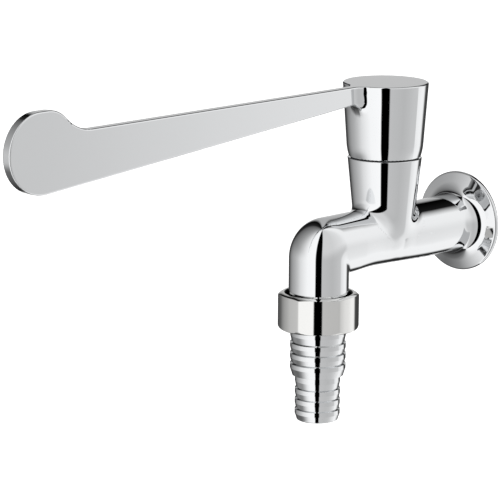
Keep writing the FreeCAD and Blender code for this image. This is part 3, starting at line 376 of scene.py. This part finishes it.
def cast_rows():
    """Rings of the casting from the inlet's bore to the spout's: turned about the inlet as far as the flare,
    then circles along the tube, the elbow's rings, and rings turned about the spout. With them come the
    tube's normals, the number of its first ring, and the stretch that makes room for the screw's hole.
    In the elbow every length line of the tube turns down on an arc of its own. The arc's radius is the line's
    distance from the bend's axis, or the crease's rounding on the inner side."""
    turn, share = full_turn(), np.linspace(0, 1, LINK_RINGS + 2)[1:-1, None, None]
    inlet = [(INLET_BORE_R, INLET_DEPTH), (INLET_BORE_R, 10), (INLET_BORE_R, INLET_EDGE - INLET_LENGTH),
             (INLET_BORE_R + INLET_EDGE, -INLET_LENGTH),
             *thread(INLET_THREAD_R, -INLET_LENGTH, SEAL_SEAT_DEPTH),
             (SEAL_SEAT_R, SEAL_SEAT_DEPTH), (SEAL_SEAT_R, 0), (16, 0), (FLANGE_R - FLANGE_BACK_EDGE, 0),
             (FLANGE_R, FLANGE_BACK_EDGE)]
    face = flange_face()
    first = len(inlet) + len(face)
    inner, spread = SCREW_PATCH
    ends = (math.degrees(math.atan2(SCREW_Z, SCREW_X)) + np.array([-spread, spread])) * COLUMNS / 360
    patch = (len(inlet) + RIM_STEPS - 1, len(inlet) + sum(reach > inner for reach, _ in face),
             *ends.round().astype(int).tolist())

    out = np.linspace(face[-1][1], TUBE_END, TUBE_RINGS + 1)[1:, None]
    radius, lift = tube_at(out)
    front = np.broadcast_to(-out, (TUBE_RINGS, COLUMNS))
    tube = np.stack([radius * np.cos(turn), front, lift + radius * np.sin(turn)], -1)
    normals = gradient(tube)
    tube = sunk_under_tower(tube, turn)

    start, above = SPOUT_R * np.sin(turn), tube_at(-SPOUT)[1]
    away = BEND_R + start - CREASE_R
    swing = CREASE_R + (away + np.sqrt(away ** 2 + CREASE_R ** 2)) / 2
    side, front, level = SPOUT_R * np.cos(turn), SPOUT - start, above + start
    angle = np.radians(np.linspace(0, 90, ELBOW_RINGS))[:, None]
    bent = np.stack([np.broadcast_to(side, (ELBOW_RINGS, COLUMNS)), front + swing * (1 - np.sin(angle)),
                     level - swing * (1 - np.cos(angle))], -1)

    spout = [*((SPOUT_R, level) for level in SPOUT_LEVELS),
             *thread(OUTLET_THREAD_R, THREAD_Z - THREAD_STEP, SPOUT_Z),
             (WATERWAY_R, SPOUT_Z), (WATERWAY_R, WATERWAY_END)]
    inlet, spout = rings_about(inlet + face, "Y", (0, 0, 0)), rings_about(spout, "Z", (0, SPOUT, 0))
    before, after = tube[-1] + (bent[0] - tube[-1]) * share, bent[-1] + (spout[0] - bent[-1]) * share
    return np.concatenate([inlet, tube, before, bent, after, spout]), normals, first, patch


def tower_radius(level):
    """Radius of the tower: a cone above the tube's middle, below it an ellipsoid that ends in the tube."""
    cone = TOWER_FOOT_R + (TOWER_TOP_R - TOWER_FOOT_R) * level / TOWER_TOP_Z
    drop = np.minimum(level - BELLY_Z, 0)
    belly = np.sqrt(np.maximum((TOWER_FOOT_R - BELLY_INSET) ** 2 - BELLY_FLATNESS * drop ** 2, 0.01))
    return np.where(level > BELLY_Z, cone, belly)


def blended(points):
    """Distance from the smooth union of tube and tower. Where both are near, it is less by a parabola whose
    width is the saddle's times the sine of the angle between the two surfaces, so the blend is as wide all
    round."""
    side, front, level = np.moveaxis(points, -1, 0)
    radius, lift = tube_at(-front)
    tube = np.stack([side, np.zeros_like(side), level - lift], -1)
    far = np.linalg.norm(tube, axis=-1)
    tube /= far[..., None]
    off = np.hypot(side, front - VALVE) + 1e-9
    slope = (tower_radius(level + WALL_STEP) - tower_radius(level - WALL_STEP)) / (2 * WALL_STEP)
    wall = np.stack([side / off, (front - VALVE) / off, -slope], -1) / np.sqrt(1 + slope ** 2)[..., None]
    near = (off - tower_radius(level)) / np.sqrt(1 + slope ** 2)
    width = SADDLE * np.linalg.norm(np.cross(tube, wall), axis=-1) + 1e-6
    overlap = np.maximum(width - np.abs(far - radius - near), 0) / width
    return np.minimum(far - radius, near) - overlap ** 2 * width / 4


def slopes(points):
    """How fast blended() grows along the three axes, by small steps."""
    here = blended(points)
    return np.stack([blended(points + SLOPE_STEP * axis) - here for axis in np.eye(3)], -1) / SLOPE_STEP


def unit(vectors):
    """Vectors of length 1 with the same directions."""
    return vectors / np.linalg.norm(vectors, axis=-1, keepdims=True)


def gradient(points):
    """Direction in which blended() grows fastest, which is that of the surface's normal."""
    return unit(slopes(points))


def seam(turn):
    """Where tower and tube meet in the direction turn round the valve: its height, by halving, its place on
    the unrolled tube (arc from the tube's top, distance from the valve along it), and the direction outwards
    there."""
    low, high = np.full(turn.shape, SEAM_LOW), np.full(turn.shape, SEAM_HIGH)
    for _ in range(HALVINGS):
        level = (low + high) / 2
        reach = tower_radius(level)
        radius, lift = tube_at(-VALVE + reach * np.sin(turn))
        inside = (reach * np.cos(turn)) ** 2 + (level - lift) ** 2 < radius ** 2
        low, high = np.where(inside, level, low), np.where(inside, high, level)
    round_it = WAIST_R * (np.arctan2(level - lift, reach * np.cos(turn)) - np.pi / 2)
    place = np.stack([round_it, -reach * np.sin(turn)], -1)
    return level, place, unit(place)


def inwards(points, front, lift):
    """Directions from points to the tube's middle, which is lift above the inlet's axis at front."""
    return unit(np.stack([-points[..., 0], front - points[..., 1], lift - points[..., 2]], -1))


def sunk_under_tower(tube, turn):
    """Tube rings, lowered by a hair where the tower's skirt covers them, and far enough inside the tower to
    leave room for the headwork."""
    sweep = np.arange(720) * np.pi / 360
    _, place, way = seam(sweep)
    bearing = np.arctan2(way[:, 1], way[:, 0])
    order = np.argsort(bearing)
    unrolled = WAIST_R * ((turn + np.pi / 2) % (2 * np.pi) - np.pi)
    along = tube[..., 1] - VALVE
    edge = np.interp(np.arctan2(along, unrolled[None]), bearing[order], np.linalg.norm(place, axis=-1)[order],
                     period=2 * np.pi)
    outside = np.hypot(unrolled[None], along) - edge
    hidden = SUNK * smooth((SKIRT - OVERLAP - outside) / DIP)
    sunk = tube + inwards(tube, tube[..., 1], tube_at(-tube[..., 1])[1]) * hidden[..., None]
    inside = smooth((PIT_R - np.hypot(tube[..., 0], along)) / PIT_WALL) * (sunk[..., 2] > PIT_FLOOR)
    sunk[..., 2] -= inside * (sunk[..., 2] - PIT_FLOOR)
    return sunk


def tower_rows():
    """Rings of the tower from its bore over the rim down the wall and out on the tube as a skirt. Wall and
    skirt start on the plain cone and tube and are drawn onto the blended surface along its gradient. With
    them come the middle of the last ring, the normals of wall and skirt, and the number of their first
    ring."""
    turn = full_turn()
    level, place, way = seam(turn)
    top = TOWER_TOP_Z - TOWER_RIM
    down = ((1 - np.linspace(0, 1, TOWER_RINGS)) ** TOWER_CROWDING)[:, None]
    level = level + (top - level) * down
    reach = tower_radius(level)
    wall = np.stack([reach * np.cos(turn), VALVE - reach * np.sin(turn), level], -1)
    out = (np.linspace(0, 1, SKIRT_RINGS + 1)[1:] ** SKIRT_CROWDING * SKIRT_END)[:, None, None]
    flat = place + way * out
    radius, lift = tube_at(-VALVE - flat[..., 1])
    round_it = flat[..., 0] / WAIST_R + np.pi / 2
    front = VALVE + flat[..., 1]
    skirt = np.stack([radius * np.cos(round_it), front, lift + radius * np.sin(round_it)], -1)
    skin = np.concatenate([wall, skirt])
    for _ in range(PULLS):
        slope = slopes(skin)
        skin = skin - (blended(skin) / np.maximum((slope ** 2).sum(-1), 0.1))[..., None] * slope
    normals = gradient(skin)
    skin[TOWER_RINGS:] += inwards(skin[TOWER_RINGS:], front, lift) * SUNK * smooth((out - SKIRT) / DIP)
    bore = [*TOWER_BORE, *arc((TOWER_TOP_R - TOWER_RIM, top), TOWER_RIM, 90, 10, 5)]
    middle = np.array([0, VALVE, TOWER_END])
    floor = [skin[-1] + (middle - skin[-1]) * share for share in (0.08, 0.5)]
    return np.concatenate([rings_about(bore, "Z", (0, VALVE, 0)), skin, floor]), middle, normals, len(bore)


def cast_body():
    """The casting's two closed skins: flange, tube, elbow and spout in one, and the tower with its skirt."""
    rows, normals, first, patch = cast_rows()
    poles = (0, -INLET_DEPTH, 0), (0, SPOUT, WATERWAY_END)
    casting = grid_mesh("casting", rows, *poles, normals, first, patch)
    rows, middle, normals, first = tower_rows()
    tower = grid_mesh("tower", rows, (0, VALVE, TOWER_BORE[0][1]), middle, normals, first)
    return casting, tower


def nut_section():
    """Outline of the nut around its axis, as points (x, y). Each of its six sides is a crowned middle, a
    flatter stretch on either side of it, and a corner; all are arcs that touch. A point is found from the
    direction its surface faces, as the centre of its arc plus the arc's radius in that direction."""
    crown = math.radians(NUT_CROWN_TURN)
    beside = np.array([NUT_MIDDLE - NUT_CROWN - (NUT_SIDE - NUT_CROWN) * math.cos(crown),
                       -(NUT_SIDE - NUT_CROWN) * math.sin(crown)])
    way = np.array([math.cos(math.pi / 6), math.sin(math.pi / 6)])
    share = beside @ way
    corner = way * (share + math.sqrt(share ** 2 - beside @ beside + (NUT_SIDE - NUT_CORNER) ** 2))
    reach = math.atan2(corner[1] - beside[1], corner[0] - beside[0])
    arcs = ((beside * (1, -1), NUT_SIDE, -reach, -crown, 9),
            ((NUT_MIDDLE - NUT_CROWN, 0), NUT_CROWN, -crown, crown, 17),
            (beside, NUT_SIDE, crown, reach, 9),
            (corner, NUT_CORNER, reach, math.pi / 3 - reach, 13))
    side = []
    for centre, radius, start, end, steps in arcs:
        faced = np.linspace(start, end, steps)[:-1, None]
        side.append(np.array(centre) + radius * np.hstack([np.cos(faced), np.sin(faced)]))
    side = np.vstack(side)
    turn = np.radians(np.arange(6) * 60 + NUT_TURN - 90)[:, None]
    across, up, cos, sin = side[:, 0], side[:, 1], np.cos(turn), np.sin(turn)
    points = np.stack([across * cos - up * sin, across * sin + up * cos], -1)
    return points.reshape(-1, 2), np.linalg.norm(corner) + NUT_CORNER


def nut_rows():
    """Rings of the union nut: hole, foot rounded on a lathe, sides, chamfer turned on a lathe, mouth, bore.
    Foot and chamfer meet a side where their radius is the side's own distance from the axis."""
    section, corner = nut_section()
    away = np.linalg.norm(section, axis=1)
    way = section / away[:, None]
    top, low, seat = NUT_TOP, NUT_TOP - NUT_HEIGHT, NUT_TOP - NUT_HEIGHT + NUT_LIP
    meeting = np.arccos(np.clip((away - corner + NUT_FOOT) / NUT_FOOT, -1, 1))
    rounding = [(corner - NUT_FOOT + NUT_FOOT * np.cos(angle), low + NUT_FOOT - NUT_FOOT * np.sin(angle))
                for angle in np.pi / 2 + (meeting - np.pi / 2) * np.linspace(0, 1, 9)[:, None]]
    width, drop = NUT_CHAMFER
    foot, edge = rounding[-1][1], top - drop * (away - (corner - width)) / width
    sides = [(away, foot + (edge - foot) * share) for share in (0.05, 0.5, 0.95, 1)]
    marks = [(NUT_HOLE_R, seat), (NUT_HOLE_R, low), *rounding, *sides, (corner - width, top),
             (NUT_BORE_R + NUT_MOUTH, top), (NUT_BORE_R, top - NUT_MOUTH), (NUT_BORE_R, seat)]
    marks = np.array([[np.broadcast_to(part, away.shape) for part in mark] for mark in marks])
    reach, height = marks.swapaxes(0, 1)
    return np.stack([way[:, 0] * reach, SPOUT + way[:, 1] * reach, height], -1)


def opaque(colour):
    """Colour with its alpha of 1."""
    return (*colour, 1.0)


def darker(colour, share):
    """Colour with each part times share, opaque."""
    return opaque([part * share for part in colour])


def finish(name, colour, roughness, metallic=0.0, tone=0.9, grain=400.0, spread=0.1, relief=0.0, lathe=None,
           coat=0.0):
    """Procedural material. Noise of scale grain, in Object coordinates, varies colour down to tone, roughness
    by spread and height by relief, in metres. lathe is the pitch, in metres, of the fine rings of a piece
    turned about an upright axis."""
    material = bpy.data.materials.new(name)
    tree = Shader(material)
    place = tree.node("TexCoord", output="Object")
    cloud = tree.node("TexNoise", {}, {"Vector": place, "Scale": grain / 8, "Detail": 3.0, "Roughness": 0.5},
                      "Fac")
    fine = tree.node("TexNoise", {}, {"Vector": place, "Scale": grain, "Detail": 4.0, "Roughness": 0.6},
                     "Fac")
    height = fine
    if lathe:
        phase = tree.node("SeparateXYZ", {}, {0: place}, "Z") * (2 * math.pi / lathe) + fine * 3.0
        height = phase.math("SINE", phase) * 0.5 + fine * 0.5
    shade = tree.node("Mix", {"data_type": "RGBA"}, {0: cloud, 6: darker(colour, tone), 7: opaque(colour)}, 2)
    rough = roughness + spread * (cloud - 0.5) + 0.5 * spread * (fine - 0.5)
    inputs = {"Base Color": shade, "Roughness": rough, "Metallic": metallic, "Coat Weight": coat}
    if relief:
        inputs["Normal"] = tree.node("Bump", {}, {"Strength": 1.0, "Distance": relief, "Height": height})
    tree.end("OutputMaterial", tree.node("BsdfPrincipled", {}, inputs))
    return material


def paint(material, slot, *names):
    """Gives CAD nodes their material; slot, the record's slot that it stands for, is not used."""
    for name in names:
        piece = frame["nodes"][name]
        for place in piece.material_slots:
            place.material = material


def add_object(name, data):
    """Adds an object to the scene."""
    made = bpy.data.objects.new(name, data)
    bpy.context.scene.collection.objects.link(made)
    return made


def put(name, mesh, body, slot, *nodes):
    """Adds a finished piece: it rides on a body and stands for CAD nodes; slot, its material slot, is not used.
    """
    piece = add_object(name, mesh)
    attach(piece, body)
    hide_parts(*nodes)


class TapOperator:
    """What the tap's operators share: build() does the work, and an error in it stops the script."""
    bl_options = {"REGISTER", "UNDO"}

    def execute(self, context):
        self.build(context.scene.tap_finish, context.scene)
        return {"FINISHED"}


class TAP_OT_body(TapOperator, bpy.types.Operator):
    """Mirror-polished chrome of the cast body"""
    bl_idname = "tap.body"
    bl_label = "Body"

    def build(self, look, scene):
        chrome = finish("polished_chrome_casting", look.chrome, look.chrome_roughness,
                        metallic=1.0, tone=0.97, grain=250.0, spread=0.02)
        for mesh in cast_body():
            mesh.materials.append(chrome)
            put("body_" + mesh.name, mesh, "tap_body", "chrome_body", "body")


class TAP_OT_lever(TapOperator, bpy.types.Operator):
    """Mirror-polished chrome of hub and long lever"""
    bl_idname = "tap.lever"
    bl_label = "Lever handle"

    def build(self, look, scene):
        chrome = finish("polished_chrome_lever", look.chrome, look.chrome_roughness,
                        metallic=1.0, tone=0.97, grain=200.0, spread=0.02)
        paint(chrome, "chrome_handle", "lever_handle")


class TAP_OT_outlet(TapOperator, bpy.types.Operator):
    """Chrome of the union nut and the barbed hose tail"""
    bl_idname = "tap.outlet"
    bl_label = "Union nut and hose tail"

    def build(self, look, scene):
        polish = {"roughness": look.chrome_roughness + 0.02, "metallic": 1.0, "tone": 0.96, "grain": 300.0,
                  "spread": 0.02}
        chrome = finish("polished_chrome_nut", look.nut, **polish)
        mesh = loop_mesh("union_nut_skin", nut_rows())
        mesh.materials.append(chrome)
        put("union_nut_skin", mesh, "nut", "chrome_nut", "union_nut")
        chrome = finish("polished_chrome_tail", look.chrome, **polish)
        paint(chrome, "chrome_nozzle", "hose_nozzle")


class TAP_OT_headwork(TapOperator, bpy.types.Operator):
    """Brass, ceramic, rubber and plastic of the headwork inside the tower"""
    bl_idname = "tap.headwork"
    bl_label = "Headwork"

    def build(self, look, scene):
        brass = finish("turned_brass", look.brass, 0.3, metallic=1.0, tone=0.85, grain=1500.0, spread=0.12,
                       relief=0.00002, lathe=0.0002)
        paint(brass, "brass", "headwork_body", "spindle")
        ceramic = finish("lapped_ceramic", look.ceramic, 0.16, tone=0.96, grain=3000.0, spread=0.05, coat=0.2)
        paint(ceramic, "ceramic", "fixed_disc", "moving_disc")
        rubber = finish("black_rubber", look.rubber, 0.6, tone=0.7, grain=4000.0, spread=0.15, relief=0.00001)
        paint(rubber, "rubber", "headwork_o_ring", "seat_seal", "spindle_o_ring_lower",
              "spindle_o_ring_upper", "outlet_washer", "wall_seal")
        white = finish("white_moulded_plastic", look.white_plastic, 0.42, tone=0.95, grain=2500.0,
                       relief=0.00001)
        paint(white, "white_plastic", "seal_support_ring", "thrust_washer", "spline_insert")
        grey = finish("grey_moulded_plastic", look.grey_plastic, 0.45, tone=0.8, grain=2500.0, relief=0.00001)
        paint(grey, "grey_plastic", "glide_ring")


class TAP_OT_fixings(TapOperator, bpy.types.Operator):
    """Steel of the fixing screw, the handle's grub screw and the spindle's clip"""
    bl_idname = "tap.fixings"
    bl_label = "Screws and clip"

    def build(self, look, scene):
        steel = finish("plain_steel", look.steel, 0.28, metallic=1.0, tone=0.85, grain=2000.0, spread=0.12,
                       relief=0.00001)
        paint(steel, "steel", "fixing_screw", "handle_grub_screw", "spindle_circlip")


class TAP_OT_studio(TapOperator, bpy.types.Operator):
    """Pale floor, light tent and the photograph's camera"""
    bl_idname = "tap.studio"
    bl_label = "Studio"

    def build(self, look, scene):
        studio = scene.tap_studio
        self.floor(studio)
        self.tent(scene, studio)
        self.camera(scene)
        scene.view_settings.view_transform = "Standard"

    def floor(self, studio):
        """Round floor: rings of points, each at its radius and angle round the tap, all at one height."""
        rings, spokes = 6, 96
        radius, turn = np.meshgrid(np.linspace(0, 1, rings + 1)[1:] * studio.floor_radius,
                                   np.arange(spokes) * 2 * np.pi / spokes, indexing="ij")
        points = np.stack([radius * np.cos(turn), radius * np.sin(turn),
                           np.full_like(turn, -studio.floor_drop)], -1)
        points = np.vstack([[[0, 0, -studio.floor_drop]], points.reshape(-1, 3)])
        at = 1 + np.arange(rings * spokes).reshape(rings, spokes)
        quads = quads_between(at)[..., ::-1].reshape(-1, 4).tolist()
        mesh = bpy.data.meshes.new("floor")
        mesh.from_pydata(points.tolist(), [], quads + fan(0, at[0]).tolist())
        floor = add_object("floor", mesh)
        material = bpy.data.materials.new("pale_floor")
        tree = Shader(material)
        place = tree.node("TexCoord", output="Object")
        cloud = tree.node("TexNoise", {}, {"Vector": place, "Scale": 0.6, "Detail": 2.0}, "Fac")
        shade = tree.node("Mix", {"data_type": "RGBA"}, {
            0: cloud, 6: darker(studio.floor, 0.98), 7: opaque(studio.floor)}, 2)
        surface = tree.node("BsdfPrincipled", {}, {
            "Base Color": shade, "Roughness": 0.8, "Emission Color": shade, "Emission Strength": 0.9})
        tree.end("OutputMaterial", surface)
        mesh.materials.append(material)
        floor.visible_glossy = False
        return floor

    def tent(self, scene, studio):
        """World light. Its walls' brightness depends on a direction's azimuth, from the camera's side."""
        world = bpy.data.worlds.new("light_tent")
        scene.world = world
        tree = Shader(world)
        way = tree.node("TexCoord", output="Generated")
        turned = tree.node("VectorRotate", {"rotation_type": "Z_AXIS"},
                           {"Vector": way, "Angle": -math.radians(CAMERA_AZIMUTH)})
        parts = tree.node("SeparateXYZ", {}, {0: turned})
        right, ahead, up = (Value(tree, part) for part in parts.socket.node.outputs)
        azimuth = right.math("ARCTAN2", right, -1.0 * ahead)
        share = azimuth / (2 * math.pi) + 0.5
        bright = max(level for _, level in TENT_LOW)
        rings = [tree.node("ValToRGB", {"stops": [
            (angle / 360 + 0.5, opaque([level / bright] * 3)) for angle, level in tent]}, {"Fac": share})
            for tent in (TENT_DEEP, TENT_LOW, TENT_HIGH)]
        walls = rings[0]
        for ring, (low, high) in zip(rings[1:], TENT_STEPS):
            lift = tree.node("MapRange", {"interpolation_type": "SMOOTHSTEP"}, {
                "Value": up, "From Min": math.sin(math.radians(low)),
                "From Max": math.sin(math.radians(high))})
            walls = tree.node("Mix", {"data_type": "RGBA"}, {0: lift, 6: walls, 7: ring}, 2)
        light = tree.node("Background", {}, {"Color": walls, "Strength": bright * studio.tent_light})
        plain = tree.node("Background", {}, {"Color": opaque([1, 1, 1]), "Strength": BACKDROP})
        seen = tree.node("LightPath", output="Is Camera Ray")
        both = tree.node("MixShader", {}, {0: seen, 1: light, 2: plain})
        tree.end("OutputWorld", both)

    def camera(self, scene):
        """The photograph's camera: turned to its azimuth, dipped, rolled, and set at its place."""
        lens = bpy.data.cameras.new("photo_camera")
        lens.lens, lens.sensor_width, lens.clip_end = CAMERA_LENS, CAMERA_SENSOR, CAMERA_REACH
        camera = add_object("photo_camera", lens)
        azimuth, dip, roll = (math.radians(a) for a in (CAMERA_AZIMUTH, CAMERA_DIP, CAMERA_ROLL))
        camera.matrix_world = (
            Matrix.Translation(CAMERA_PLACE) @ Matrix.Rotation(azimuth, 4, "Z")
            @ Matrix.Rotation(math.pi / 2 - dip, 4, "X") @ Matrix.Rotation(roll, 4, "Z"))
        scene.camera = camera


class TAP_PT_panel(bpy.types.Panel):
    """Lists the tap's pieces and their finishes"""
    bl_idname = "TAP_PT_panel"
    bl_label = "Wall tap"
    bl_space_type = "VIEW_3D"
    bl_region_type = "UI"
    bl_category = "Wall tap"

    def draw(self, context):
        for piece in PIECES:
            self.layout.operator(piece.bl_idname)
        for group in (context.scene.tap_finish, context.scene.tap_studio):
            for name in group.__annotations__:
                self.layout.prop(group, name)


PIECES = (TAP_OT_body, TAP_OT_lever, TAP_OT_outlet, TAP_OT_headwork, TAP_OT_fixings, TAP_OT_studio)
CLASSES = (TapFinish, TapStudio, *PIECES, TAP_PT_panel)


def register():
    for kind in CLASSES:
        bpy.utils.register_class(kind)
    bpy.types.Scene.tap_finish = bpy.props.PointerProperty(type=TapFinish)
    bpy.types.Scene.tap_studio = bpy.props.PointerProperty(type=TapStudio)


def unregister():
    del bpy.types.Scene.tap_studio
    del bpy.types.Scene.tap_finish
    for kind in reversed(CLASSES):
        bpy.utils.unregister_class(kind)


def main():
    """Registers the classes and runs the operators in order."""
    register()
    for piece in PIECES:
        group, name = piece.bl_idname.split(".")
        getattr(getattr(bpy.ops, group), name)()


if __name__ == "__main__":
    main()
